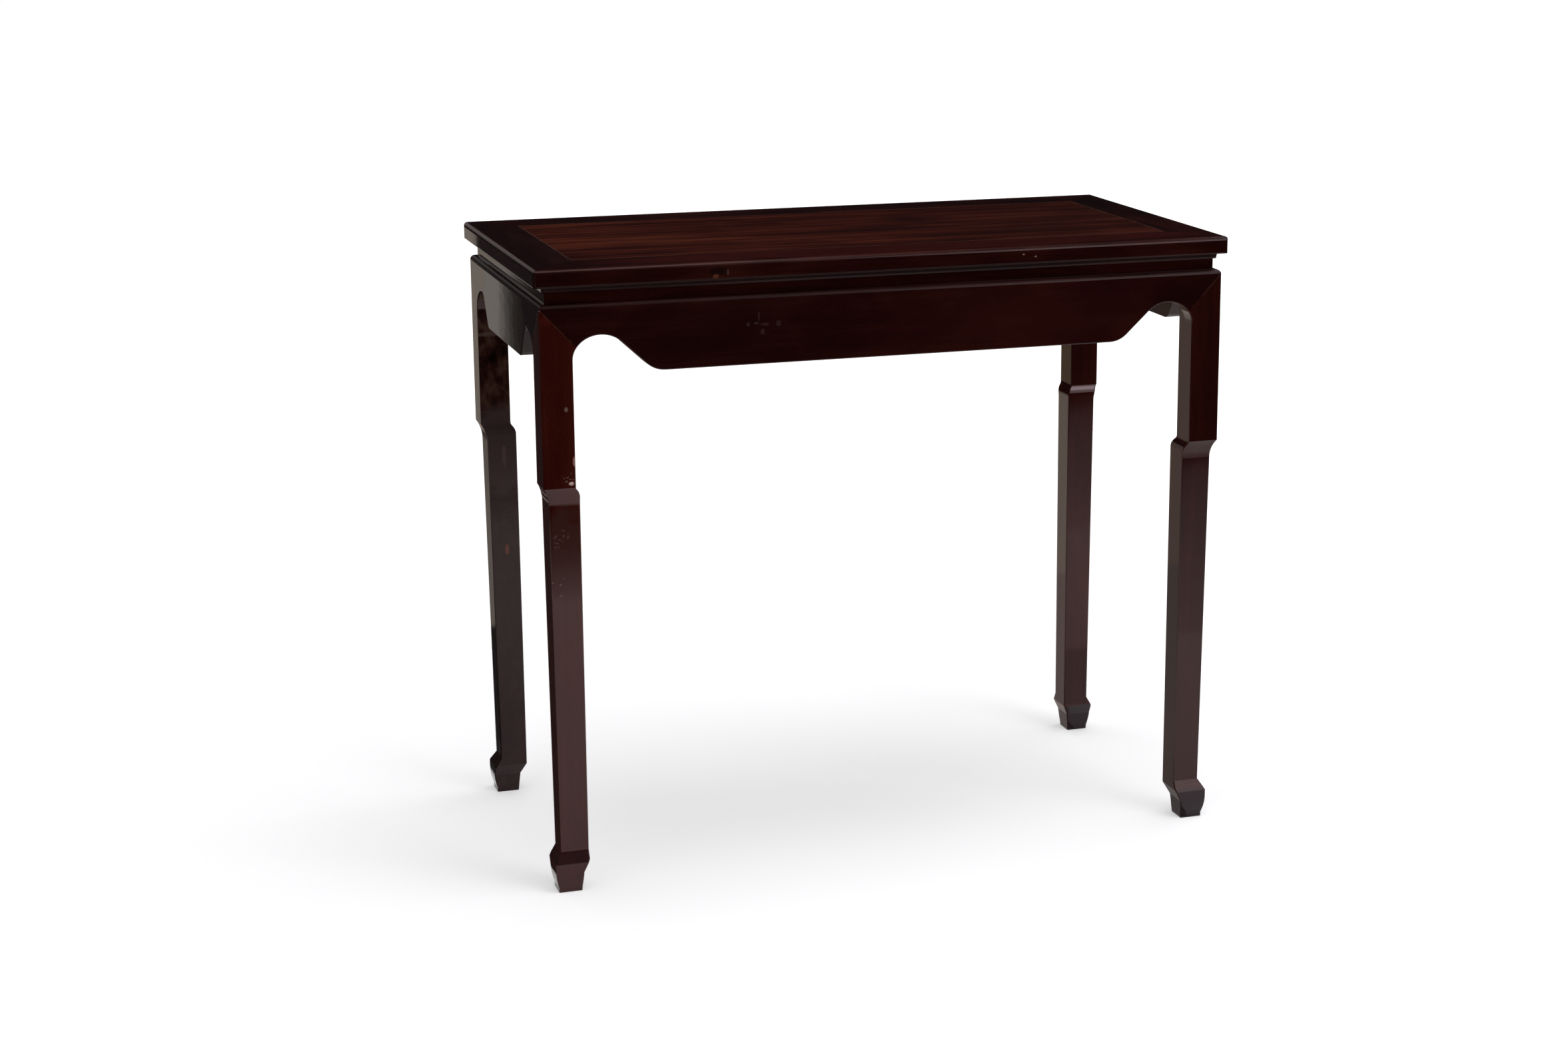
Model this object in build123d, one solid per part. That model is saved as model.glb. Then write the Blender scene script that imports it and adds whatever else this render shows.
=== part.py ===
from build123d import *

import math
import os
from dataclasses import dataclass

# A waisted rectangular side table in the extended-leg form. Millimetres, +Z up.
# Origin: on the floor, under the middle of the top. X runs along the table, the front is -Y.
# An inset is a distance in from the outer edge of the top frame.

# ---- Overall size ----
table_length = 980.0
table_depth = 495.0
table_height = 853.0

# ---- Clearances ----
seam_gap = 0.1          # between two mitred faces
cheek_gap = 0.1         # on each side of a tenon, tongue or key
end_gap = 0.6           # past the end of a tenon, tongue or key
panel_gap = 0.6         # round the floating panel, where it can swell

# ---- Top frame ----
frame_thickness = 32.5
long_rail_width = 74.0
short_rail_width = 66.0
top_arris_radius = 7.0
face_arris_radius = 2.2  # lower edge of the upright face
rebate_height = 8.0      # underside up to the lower edge of the upright face
rebate_width = 13.0      # upright face in to the head of the lip
lip_taper = 1.2          # how much further in the foot of the lip lies
frame_corner_radius = 6.0
frame_tenon_thickness = 9.0
frame_tenon_top_cover = 11.0
frame_tenon_side_cover = 18.0
frame_tenon_end_cover = 14.0

# ---- Floating panel ----
panel_thickness = 14.0
panel_tongue_thickness = 7.0
panel_tongue_reach = 8.0

# ---- Battens under the panel ----
batten_count = 3
batten_spacing = 230.0
batten_width = 34.0
batten_dovetail_depth = 4.5
batten_dovetail_neck = 20.0
batten_dovetail_flare = 2.0
batten_tenon_width = 22.0
batten_tenon_thickness = 8.0
batten_tenon_reach = 25.0

# ---- Waist ----
waist_height = 14.5
waist_inset = 16.5
waist_tongue_thickness = 5.0
waist_tongue_height = 4.0
waist_foot_height = 3.0

# ---- Aprons ----
apron_inset = 7.0
apron_thickness = 24.0
apron_ledge_radius = 7.5
arch_crown_drop = 42.5   # apron top down to the crown of each arch
arch_spring_drop = 75.0  # apron top down to where the leg starts to curve into the arch

# ---- Legs ----
upper_leg_width = 43.5
mitre_top_drop = 5.5     # apron top down to the head of the mitre on the corner arris
mitre_rise = 46.5        # height of the mitre across the upper leg
arris_radius = 1.6

step_height = 562.5      # floor up to the sharp arris of the outer step
cove_height = 25.5
cove_depth = 7.5
inner_step_top = 564.0
inner_step_bottom = 547.0
inner_step_depth = 6.5
inner_step_hollow = 8.0  # radius of the hollow above the step's round shoulder
outer_taper = 4.5
inner_taper = 0.5

foot_height = 56.0
foot_ledge_height = 41.0
foot_ledge_reach = 9.0
foot_nose_height = 32.0
foot_pad_height = 6.0
foot_undercut = 4.5
inner_foot_height = 44.0
inner_heel_height = 27.0
inner_heel_cut = 8.5
inner_sole_cut = 11.0

# ---- Leg joints ----
leg_tenon_margin = 2.0
leg_tenon_mitre_margin = 1.0
leg_long_tenon_height = 14.5
leg_short_tenon_web = 3.0
hanging_key_depth = 8.0
hanging_key_neck = 7.0
hanging_key_flare = 1.5
hanging_key_cover = 3.0

# ---- Keys that tie aprons and waist to the frame ----
apron_key_spacing = 400.0
apron_key_neck = 14.0
apron_key_flare = 2.0
apron_key_depth = 4.5
apron_key_stand = 6.0
apron_key_lift = 15.0
apron_key_tenon_height = 8.0

# ---- Pegs that lock the frame corners ----
frame_peg_diameter = 4.0
frame_peg_height = 20.0

# ---- Levels and lines that follow from the sizes ----
frame_underside = table_height - frame_thickness
apron_top = frame_underside - waist_height
panel_underside = table_height - panel_thickness
panel_length = table_length - 2 * short_rail_width
panel_depth = table_depth - 2 * long_rail_width
apron_back = apron_inset + apron_thickness
leg_inner = apron_inset + upper_leg_width
frame_tenon_top = table_height - frame_tenon_top_cover
frame_tenon_bottom = frame_tenon_top - frame_tenon_thickness
waist_middle = (waist_inset + apron_back) / 2
mitre_slope = mitre_rise / upper_leg_width


@dataclass
class Ogee:
    """The scrolled lower edge of one apron, from the leg to its straight middle."""

    crown_run: float      # leg to crown
    crown_radius: float
    slope: float          # degrees
    foot_radius: float
    depth: float          # apron top down to the straight edge


long_ogee = Ogee(crown_run=38.0, crown_radius=40.0, slope=43.0, foot_radius=36.0, depth=94.0)
short_ogee = Ogee(crown_run=43.0, crown_radius=16.0, slope=55.0, foot_radius=16.0, depth=88.0)


def block(x0, x1, y0, y1, z0, z1):
    """Return a box between three pairs of coordinates."""
    middle = ((x0 + x1) / 2, (y0 + y1) / 2, (z0 + z1) / 2)
    return Pos(*middle) * Box(abs(x1 - x0), abs(y1 - y0), abs(z1 - z0))


def filled(lines):
    """Return the face inside a closed run of lines and arcs."""
    return make_face([edge for line in lines for edge in line.edges()])


def plan_prism(points, bottom, top):
    """Extrude a plan outline between two levels."""
    face = Plane.XY.offset(bottom) * Polygon(*points, align=None)
    return extrude(face, amount=top - bottom, dir=(0, 0, 1))


def front_prism(face, inset, depth):
    """Extrude a front-view face from one inset inwards."""
    return Pos(0, inset, 0) * extrude(Plane.XZ * face, amount=depth, dir=(0, 1, 0))


def on_front(shape):
    """Place a side-local shape on the front of the table."""
    return Pos(0, -table_depth / 2, 0) * shape


def on_back(shape):
    """Place a side-local shape on the back of the table."""
    return Pos(0, table_depth / 2, 0) * Rot(0, 0, 180) * shape


def on_left(shape):
    """Place a side-local shape on the left end of the table."""
    return Pos(-table_length / 2, 0, 0) * Rot(0, 0, -90) * shape


def on_right(shape):
    """Place a side-local shape on the right end of the table."""
    return Pos(table_length / 2, 0, 0) * Rot(0, 0, 90) * shape


def mitred_plan(length, depth, run, gap, bottom, top):
    """Return the plan prism of one side, mitred over a run at each end."""
    half = length / 2 - gap
    points = [(-half, 0), (half, 0), (half - run, depth), (-half + run, depth)]
    return plan_prism(points, bottom, top)


# ---- Top frame ----

def rail_section(width):
    """Draw a frame rail's section: inset along local X, height along local Y."""
    groove_top = panel_underside + panel_tongue_thickness + cheek_gap
    groove_bottom = panel_underside - cheek_gap
    groove_inset = width - panel_tongue_reach - end_gap
    face_bottom = frame_underside + rebate_height
    outline = [
        Polyline(
            (0, table_height - top_arris_radius),
            (0, face_bottom + face_arris_radius),
        ),
        CenterArc((face_arris_radius, face_bottom + face_arris_radius), face_arris_radius, 180, 90),
        Polyline(
            (face_arris_radius, face_bottom),
            (rebate_width, face_bottom),
            (rebate_width + lip_taper, frame_underside),
            (width, frame_underside),
            (width, groove_bottom),
            (groove_inset, groove_bottom),
            (groove_inset, groove_top),
            (width, groove_top),
            (width, table_height),
            (top_arris_radius, table_height),
        ),
        CenterArc((top_arris_radius, table_height - top_arris_radius), top_arris_radius, 90, 90),
    ]
    return filled(outline)


def waist_groove(length, bottom, height):
    """Return the groove that takes a tongue of the waist."""
    half_width = waist_tongue_thickness / 2 + cheek_gap
    return block(-length / 2, length / 2, waist_middle - half_width, waist_middle + half_width,
                 bottom, bottom + height)


def rail_blank(length, width, run):
    """Return a grooved rail of the given outer length, mitred over a run at each end."""
    section = Plane.YZ * rail_section(width)
    bar = Pos(-length / 2, 0, 0) * extrude(section, amount=length, dir=(1, 0, 0))
    bar -= waist_groove(length, frame_underside, waist_tongue_height + end_gap)
    return bar & mitred_plan(length, width, run, seam_gap / 2, frame_underside, table_height)


def corner_waste():
    """Return the waste outside a rounded corner of the top frame, corner-local."""
    radius = frame_corner_radius
    square = block(-radius, radius, -radius, radius, frame_underside, table_height)
    core = Cylinder(radius, frame_thickness, align=(Align.CENTER, Align.CENTER, Align.MIN))
    return square - Pos(radius, radius, frame_underside) * core


def waist_corner_groove():
    """Return the corner of the groove for the waist's tongues, corner-local."""
    low = waist_middle - waist_tongue_thickness / 2 - cheek_gap
    high = waist_middle + waist_tongue_thickness / 2 + cheek_gap
    arm = block(low, leg_inner, low, high,
                frame_underside, frame_underside + waist_tongue_height + end_gap)
    return arm + swapped(arm)


def both_ends(shape):
    """Return a shape together with its mirror image at the other end."""
    return shape + mirror(shape, about=Plane.YZ)


def apron_key_places(length):
    """Return the X places of the keys along a side of the given outer length."""
    if length > 2 * apron_key_spacing:
        return [-apron_key_spacing / 2, apron_key_spacing / 2]
    return [0.0]


def key_mortises(length):
    """Return the mortises for the heads of the apron keys in a rail's underside."""
    half_width = apron_key_neck / 2 + cheek_gap
    return [
        block(place - half_width, place + half_width,
              apron_back - cheek_gap, apron_back + apron_key_stand + cheek_gap,
              frame_underside, frame_underside + apron_key_tenon_height + end_gap)
        for place in apron_key_places(length)
    ]


def batten_places():
    """Return the X places of the battens."""
    first = -batten_spacing * (batten_count - 1) / 2
    return [first + number * batten_spacing for number in range(batten_count)]


def batten_tenon_levels():
    """Return the lower and upper faces of a batten's tenon."""
    middle = (frame_underside + panel_underside) / 2
    return middle - batten_tenon_thickness / 2, middle + batten_tenon_thickness / 2


def long_rail():
    """Return a long rail, side-local, without the leg mortises."""
    rail = rail_blank(table_length, long_rail_width, short_rail_width)
    inner = long_rail_width - frame_tenon_side_cover
    root = table_length / 2 - inner - short_rail_width / 2
    tenon = block(root, table_length / 2 - frame_tenon_end_cover, frame_tenon_side_cover, inner,
                  frame_tenon_bottom, frame_tenon_top)
    rail += both_ends(tenon)
    low, high = batten_tenon_levels()
    half_width = batten_tenon_width / 2 + cheek_gap
    for place in batten_places():
        rail -= block(place - half_width, place + half_width,
                      long_rail_width - batten_tenon_reach - end_gap, long_rail_width,
                      low - cheek_gap, high + cheek_gap)
    for mortise in key_mortises(table_length):
        rail -= mortise
    return rail


def short_rail():
    """Return a short rail, side-local, without the leg mortises."""
    rail = rail_blank(table_depth, short_rail_width, long_rail_width)
    half = table_depth / 2
    inner = long_rail_width - frame_tenon_side_cover
    mortise = block(half - inner - cheek_gap, half - frame_tenon_side_cover + cheek_gap,
                    frame_tenon_end_cover - end_gap, short_rail_width,
                    frame_tenon_bottom - cheek_gap, frame_tenon_top + cheek_gap)
    rail -= both_ends(mortise)
    for mortise in key_mortises(table_depth):
        rail -= mortise
    return rail


# ---- Panel and battens ----

def panel():
    """Return the floating panel, tongued all round and housed for the battens."""
    body = block(-panel_length / 2 + panel_gap, panel_length / 2 - panel_gap,
                 -panel_depth / 2 + panel_gap, panel_depth / 2 - panel_gap,
                 panel_underside, table_height)
    tongue = block(-panel_length / 2 - panel_tongue_reach, panel_length / 2 + panel_tongue_reach,
                   -panel_depth / 2 - panel_tongue_reach, panel_depth / 2 + panel_tongue_reach,
                   panel_underside, panel_underside + panel_tongue_thickness)
    board = body + tongue
    for place in batten_places():
        housing = dovetail(batten_dovetail_neck, batten_dovetail_flare, batten_dovetail_depth,
                           panel_underside, cheek_gap)
        board -= Pos(place, 0, 0) * front_prism(housing, -table_depth / 2, table_depth)
    return board


def dovetail(neck, flare, depth, root, gap):
    """Draw a dovetail that widens away from its root line along local Y."""
    low = neck / 2 + gap
    high = neck / 2 + flare + gap
    return Polygon((-low, root), (low, root), (high, root + depth + gap),
                   (-high, root + depth + gap), align=None)


def batten():
    """Return one batten across the table, with its dovetail and its two tenons."""
    length = panel_depth
    bar = block(-batten_width / 2, batten_width / 2, -length / 2, length / 2,
                frame_underside, panel_underside)
    tail = dovetail(batten_dovetail_neck, batten_dovetail_flare, batten_dovetail_depth,
                    panel_underside, 0)
    bar += front_prism(tail, -length / 2, length)
    low, high = batten_tenon_levels()
    bar += block(-batten_tenon_width / 2, batten_tenon_width / 2,
                 -length / 2 - batten_tenon_reach, length / 2 + batten_tenon_reach, low, high)
    return bar


# ---- Waist and aprons ----

def key_slots(length, bottom):
    """Return the dovetail slots for the apron keys behind a side."""
    slots = []
    for place in apron_key_places(length):
        outline = key_outline(cheek_gap)
        slot = extrude(Plane.XY.offset(bottom) * outline, amount=frame_underside - bottom)
        slots.append(Pos(place, 0, 0) * slot)
    return slots


def key_outline(gap):
    """Draw the dovetail of an apron key, which widens outwards from the apron's back."""
    neck = apron_key_neck / 2 + gap
    tail = apron_key_neck / 2 + apron_key_flare + gap
    front = apron_back - apron_key_depth - gap
    return Polygon((-neck, apron_back), (-tail, front), (tail, front), (neck, apron_back),
                   align=None)


def waist(length):
    """Return the waist board of one side, tongued above and below."""
    half_tongue = waist_tongue_thickness / 2
    board = block(-length / 2, length / 2, waist_inset, apron_back, apron_top, frame_underside)
    board += block(-length / 2, length / 2, waist_middle - half_tongue, waist_middle + half_tongue,
                   apron_top - waist_foot_height, frame_underside + waist_tongue_height)
    board &= mitred_plan(length, apron_back, apron_back, seam_gap / 2,
                         apron_top - waist_foot_height, frame_underside + waist_tongue_height)
    for slot in key_slots(length, apron_top):
        board -= slot
    return board


def apron_outline(length, ogee):
    """Draw an apron as seen from outside, from corner to corner, with both arches."""
    crown_x = length / 2 - leg_inner - ogee.crown_run
    crown_z = apron_top - arch_crown_drop
    spring_z = apron_top - arch_spring_drop
    bottom_z = apron_top - ogee.depth
    angle = math.radians(ogee.slope)
    turn_x = math.sin(angle)
    turn_z = 1 - math.cos(angle)
    fall = crown_z - bottom_z - (ogee.crown_radius + ogee.foot_radius) * turn_z
    foot_x = crown_x - (ogee.crown_radius + ogee.foot_radius) * turn_x - fall / math.tan(angle)
    end_x = length / 2 - apron_inset
    half = [
        Polyline((0, bottom_z), (0, apron_top), (end_x, apron_top), (end_x, spring_z),
                 (length / 2 - leg_inner, spring_z)),
        EllipticalCenterArc(
            (crown_x, spring_z), ogee.crown_run, arch_spring_drop - arch_crown_drop, 0,
            arc_size=90,
        ),
        CenterArc((crown_x, crown_z - ogee.crown_radius), ogee.crown_radius, 90, ogee.slope),
        Line(
            (crown_x - ogee.crown_radius * turn_x, crown_z - ogee.crown_radius * turn_z),
            (foot_x + ogee.foot_radius * turn_x, bottom_z + ogee.foot_radius * turn_z),
        ),
        CenterArc((foot_x, bottom_z + ogee.foot_radius), ogee.foot_radius, ogee.slope - 90,
                  -ogee.slope),
        Line((foot_x, bottom_z), (0, bottom_z)),
    ]
    face = filled(half)
    return face + mirror(face, about=Plane.YZ)


def apron_board(length, ogee):
    """Return an apron as a board with its lower outline cut, before any rounding."""
    return front_prism(apron_outline(length, ogee), apron_inset, apron_thickness)


def rounded_apron_board(length, ogee):
    """Return an apron board with its ledge and its lower outer arris rounded."""
    board = apron_board(length, ogee)
    rim = board.faces().sort_by(Axis.Y)[0].edges()
    between_legs = length / 2 - leg_inner
    lower = [edge for edge in rim
             if abs(edge.center().X) < between_legs and edge.center().Z < apron_top - 1]
    board = fillet(lower, arris_radius)
    ledge = board.faces().sort_by(Axis.Y)[0].edges().sort_by(Axis.Z)[-1]
    return fillet(ledge, apron_ledge_radius)


def mitre_space(length, depth, gap):
    """Return all the room of an apron and its waist board between two legs."""
    half = length / 2 - apron_inset
    head = apron_top - mitre_top_drop + gap
    foot = apron_top - arch_spring_drop
    run = (head - foot) / mitre_slope
    low = apron_top - depth
    points = [(-half, frame_underside), (half, frame_underside), (half, head),
              (half - run, foot), (half - run, low), (run - half, low), (run - half, foot),
              (-half, head)]
    space = front_prism(Polygon(*points, align=None), 0, apron_back)
    return space & mitred_plan(length, apron_back, apron_back, gap / 2, low, frame_underside)


def hanging_key(gap):
    """Return the dovetail key that stands on a leg's core and holds the apron, corner-local."""
    along = (apron_back + leg_inner) / 2
    neck = hanging_key_neck / 2 + gap
    tail = neck + hanging_key_flare
    front = apron_back - hanging_key_depth - gap
    outline = [(along - neck, apron_back), (along - tail, front),
               (along + tail, front), (along + neck, apron_back)]
    top = apron_top - hanging_key_cover + (end_gap if gap else 0)
    return plan_prism(outline, apron_top - mitre_top_drop - mitre_rise, top)


def apron(length, ogee):
    """Return the finished apron of one side."""
    board = rounded_apron_board(length, ogee) & mitre_space(length, ogee.depth, seam_gap)
    board -= waist_groove(length, apron_top - waist_foot_height - end_gap,
                          waist_foot_height + end_gap)
    board -= both_ends(Pos(-length / 2, 0, 0) * hanging_key(cheek_gap))
    for slot in key_slots(length, apron_top - ogee.depth):
        board -= slot
    return board


def apron_key(depth):
    """Return one key, which slides up behind the apron and waist into the frame."""
    bottom = apron_top - depth + apron_key_lift
    half_width = apron_key_neck / 2 + apron_key_flare
    stand = apron_back + apron_key_stand
    key = extrude(Plane.XY.offset(bottom) * key_outline(0), amount=frame_underside - bottom)
    key += block(-half_width, half_width, apron_back, stand, bottom, frame_underside)
    key += block(-apron_key_neck / 2, apron_key_neck / 2, apron_back, stand,
                 frame_underside, frame_underside + apron_key_tenon_height)
    return key


# ---- Legs ----

def leg_profile():
    """Draw a leg from one side: inset along local X, height along local Y."""
    lower_outer = apron_inset + cove_depth
    ankle_outer = lower_outer + outer_taper
    lower_inner = leg_inner + inner_step_depth
    ankle_inner = lower_inner + inner_taper
    nose = ankle_outer - foot_ledge_reach
    cove_bottom = step_height - cove_height
    cove_radius = (cove_height ** 2 + cove_depth ** 2) / (2 * cove_depth)
    cove_angle = math.degrees(math.asin(cove_height / cove_radius))
    step_rise = inner_step_top - inner_step_bottom
    both_radii = (step_rise ** 2 + inner_step_depth ** 2) / (2 * inner_step_depth)
    step_angle = math.degrees(math.asin(step_rise / both_radii))
    shoulder_radius = both_radii - inner_step_hollow
    pad_rise = foot_nose_height - foot_pad_height
    pad_radius = (pad_rise ** 2 + foot_undercut ** 2) / (2 * foot_undercut)
    pad_angle = math.degrees(math.asin(pad_rise / pad_radius))
    outline = [
        Line((apron_inset, frame_underside), (apron_inset, step_height)),
        CenterArc((lower_outer - cove_radius, cove_bottom), cove_radius, cove_angle, -cove_angle),
        Polyline(
            (lower_outer, cove_bottom),
            (ankle_outer, foot_height),
            (nose, foot_ledge_height),
            (nose, foot_nose_height),
        ),
        CenterArc((nose + pad_radius, foot_nose_height), pad_radius, 180, pad_angle),
        Polyline(
            (nose + foot_undercut, foot_pad_height),
            (nose + foot_undercut, 0),
            (ankle_inner - inner_sole_cut, 0),
            (ankle_inner - inner_heel_cut, inner_heel_height),
            (ankle_inner, inner_foot_height),
            (lower_inner, inner_step_bottom),
        ),
        CenterArc((lower_inner - shoulder_radius, inner_step_bottom), shoulder_radius, 0,
                  step_angle),
        CenterArc((leg_inner + inner_step_hollow, inner_step_top), inner_step_hollow,
                  180 + step_angle, -step_angle),
        Polyline(
            (leg_inner, inner_step_top),
            (leg_inner, frame_underside),
            (apron_inset, frame_underside),
        ),
    ]
    return filled(outline)


def leg_tenons(gap):
    """Return the tenons on a leg's head, corner-local: into the long rail, then the short."""
    middle = (apron_back + leg_inner) / 2
    near = (apron_back + leg_tenon_margin - gap, middle - leg_tenon_mitre_margin + gap)
    far = (middle + leg_tenon_mitre_margin - gap, leg_inner - leg_tenon_margin + gap)
    over = end_gap if gap else 0
    long_top = frame_underside + leg_long_tenon_height + over
    short_top = frame_tenon_bottom - leg_short_tenon_web + over
    long_tenon = block(*far, *near, frame_underside, long_top)
    short_tenon = block(*near, *far, frame_underside, short_top)
    return long_tenon, short_tenon


def swapped(shape):
    """Return a corner-local shape with its two insets exchanged."""
    return mirror(shape, about=Plane((0, 0, 0), x_dir=(1, 1, 0), z_dir=(1, -1, 0)))


def leg():
    """Return a whole leg, from its foot to its tenons, corner-local."""
    wide = leg_inner + inner_step_depth + inner_taper
    side = front_prism(leg_profile(), 0, 2 * wide)
    body = side & swapped(side)
    root = leg_inner + upper_leg_width / 2
    near = block(apron_inset, root, apron_inset, apron_back,
                 apron_top - arch_spring_drop, apron_top)
    front_board = Pos(table_length / 2, 0, 0) * apron_board(table_length, long_ogee)
    side_board = Pos(table_depth / 2, 0, 0) * apron_board(table_depth, short_ogee)
    body += front_board & near
    body += swapped(side_board & near)
    body = rounded_leg(body, root)
    front_space = mitre_space(table_length, long_ogee.depth, 0)
    side_space = mitre_space(table_depth, short_ogee.depth, 0)
    body -= Pos(table_length / 2, 0, 0) * front_space
    body -= swapped(Pos(table_depth / 2, 0, 0) * side_space)
    body += hanging_key(0)
    body += swapped(hanging_key(0))
    for tenon in leg_tenons(0):
        body += tenon
    return body


def rounded_leg(body, root):
    """Round the four long arrises of a leg and of the arch roots that grow from it."""
    arrises = []
    for edge in body.edges():
        middle = edge.center()
        box = edge.bounding_box()
        level = box.size.Z < arris_radius / 2
        cut_off = max(middle.X, middle.Y) > root - 1 or box.min.Z > apron_top - arch_crown_drop
        behind = min(abs(middle.X - apron_back), abs(middle.Y - apron_back)) < 1
        if not (level or cut_off or behind):
            arrises.append(edge)
    return fillet(arrises, arris_radius)


# ---- Assembly ----

def at_corners(shape):
    """Place a corner-local shape at the four corners of the table."""
    front_left = Pos(-table_length / 2, -table_depth / 2, 0) * shape
    front_right = mirror(front_left, about=Plane.YZ)
    return {
        "front_left": front_left,
        "front_right": front_right,
        "back_left": mirror(front_left, about=Plane.XZ),
        "back_right": mirror(front_right, about=Plane.XZ),
    }


def frame_peg(gap):
    """Return the peg through a corner's frame tenon, corner-local."""
    groove_edge = waist_middle + waist_tongue_thickness / 2
    inset = (groove_edge + apron_back + leg_tenon_margin) / 2
    along = long_rail_width / 2
    over = end_gap if gap else 0
    peg = Cylinder(frame_peg_diameter / 2 + gap, frame_peg_height + over,
                   align=(Align.CENTER, Align.CENTER, Align.MIN))
    return Pos(inset, along, frame_underside) * peg


def top_frame():
    """Return the four rails by node name, cut for the legs and pegs."""
    rails = {
        "frame_rail_front": on_front(long_rail()),
        "frame_rail_back": on_back(long_rail()),
        "frame_rail_left": on_left(short_rail()),
        "frame_rail_right": on_right(short_rail()),
    }
    cuts = [corner_waste(), waist_corner_groove(), frame_peg(cheek_gap), *leg_tenons(cheek_gap)]
    for cut in cuts:
        for corner, tool in at_corners(cut).items():
            row, end = corner.split("_")
            rails["frame_rail_" + row] -= tool
            rails["frame_rail_" + end] -= tool
    return rails


def table():
    """Return every piece of the table by node name."""
    pieces = top_frame()
    pieces["top_panel"] = panel()
    for number, place in enumerate(batten_places(), start=1):
        pieces[f"panel_batten_{number}"] = Pos(place, 0, 0) * batten()
    sides = {
        "front": (on_front, table_length, long_ogee),
        "back": (on_back, table_length, long_ogee),
        "left": (on_left, table_depth, short_ogee),
        "right": (on_right, table_depth, short_ogee),
    }
    keys = []
    for name, (put, length, ogee) in sides.items():
        pieces["waist_" + name] = put(waist(length))
        pieces["apron_" + name] = put(apron(length, ogee))
        key = apron_key(ogee.depth)
        keys += [put(Pos(place, 0, 0) * key) for place in apron_key_places(length)]
    pieces["apron_keys"] = Compound(children=keys)
    for corner, shape in at_corners(leg()).items():
        pieces["leg_" + corner] = shape
    pegs = at_corners(frame_peg(0))
    pieces["frame_pegs"] = Compound(children=list(pegs.values()))
    return pieces


os.makedirs("parts", exist_ok=True)
for node, shape in table().items():
    export_step(shape, f"parts/{node}.step")
    print(node, len(shape.solids()))
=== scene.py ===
"""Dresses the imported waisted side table: polished hardwood, a plain pale studio and the camera."""

import logging
import math
from dataclasses import dataclass
from enum import Enum
from typing import Any, Iterable

import bpy
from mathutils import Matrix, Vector


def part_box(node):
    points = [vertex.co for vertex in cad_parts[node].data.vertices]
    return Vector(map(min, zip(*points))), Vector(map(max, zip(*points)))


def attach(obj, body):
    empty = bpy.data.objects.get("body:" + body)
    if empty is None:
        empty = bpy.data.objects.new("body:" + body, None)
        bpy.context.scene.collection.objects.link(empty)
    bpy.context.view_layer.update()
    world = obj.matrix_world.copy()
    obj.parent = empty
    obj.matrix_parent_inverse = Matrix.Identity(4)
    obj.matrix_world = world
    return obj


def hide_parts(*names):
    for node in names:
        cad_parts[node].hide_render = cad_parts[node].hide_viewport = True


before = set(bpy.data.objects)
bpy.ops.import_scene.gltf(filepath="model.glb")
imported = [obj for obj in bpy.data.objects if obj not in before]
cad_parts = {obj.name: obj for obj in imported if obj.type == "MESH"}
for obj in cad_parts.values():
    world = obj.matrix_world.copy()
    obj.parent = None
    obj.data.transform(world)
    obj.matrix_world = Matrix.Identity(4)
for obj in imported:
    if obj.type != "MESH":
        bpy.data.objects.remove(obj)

log = logging.getLogger("side_table")

Pair = tuple[float, float]
Triple = tuple[float, float, float]

BODY = "root"
WHITE = (1.0, 1.0, 1.0, 1.0)

# The faces that carry marks, in metres.
TOP_FACE = 0.8530
FRAME_FRONT = -0.2475
APRON_FRONT = -0.2405
APRON_LEFT = -0.4830
LOWER_LEG_FRONT = -0.2330
BACK_LEG_FRONT = 0.1900


class Grain(Enum):
    """The way the wood's fibres run, as the order of the axes along, across and through."""

    ALONG_TABLE = (0, 1, 2)
    ACROSS_TABLE = (1, 0, 2)
    UPRIGHT = (2, 0, 1)


class Inside(Enum):
    """Which faces of a piece never got the finish."""

    NONE = "none"
    UNDERSIDE = "underside"
    FACING_IN = "facing in"
    ALL = "all"


# ---- Shader expressions ----


class Value:
    """A number socket that turns Python arithmetic into Math nodes."""

    def __init__(self, shader: "Shader", socket: bpy.types.NodeSocket) -> None:
        """Keep a socket of a shader.

        Args:
            shader: The shader the socket belongs to.
            socket: The output socket to compute with.
        """
        self.shader = shader
        self.socket = socket

    def _math(self, operation: str, *values: Any) -> "Value":
        """Return the result of one Math node on some values."""
        inputs = dict(enumerate(values))
        return self.shader.value("ShaderNodeMath", {"operation": operation}, inputs)

    def __add__(self, other: Any) -> "Value":
        """Return this plus another."""
        return self._math("ADD", self, other)

    def __radd__(self, other: Any) -> "Value":
        """Return another plus this."""
        return self._math("ADD", other, self)

    def __sub__(self, other: Any) -> "Value":
        """Return this minus another."""
        return self._math("SUBTRACT", self, other)

    def __rsub__(self, other: Any) -> "Value":
        """Return another minus this."""
        return self._math("SUBTRACT", other, self)

    def __mul__(self, other: Any) -> "Value":
        """Return this times another."""
        return self._math("MULTIPLY", self, other)

    def __rmul__(self, other: Any) -> "Value":
        """Return another times this."""
        return self._math("MULTIPLY", other, self)

    def __abs__(self) -> "Value":
        """Return this without its sign."""
        return self._math("ABSOLUTE", self)

    def maximum(self, other: Any) -> "Value":
        """Return the larger of two values."""
        return self._math("MAXIMUM", self, other)

    def step(self, low: float, high: float) -> "Value":
        """Return a smooth step that is 0 at low and 1 at high.

        Args:
            low: Where the step starts.
            high: Where the step ends. It may be lower than low.

        Returns:
            The step, between 0 and 1.
        """
        start, end = sorted((low, high))
        rising = self.shader.value("ShaderNodeMapRange",
                                   {"interpolation_type": "SMOOTHSTEP", "clamp": True},
                                   {"Value": self, "From Min": start, "From Max": end})
        return 1.0 - rising if low > high else rising


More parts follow.
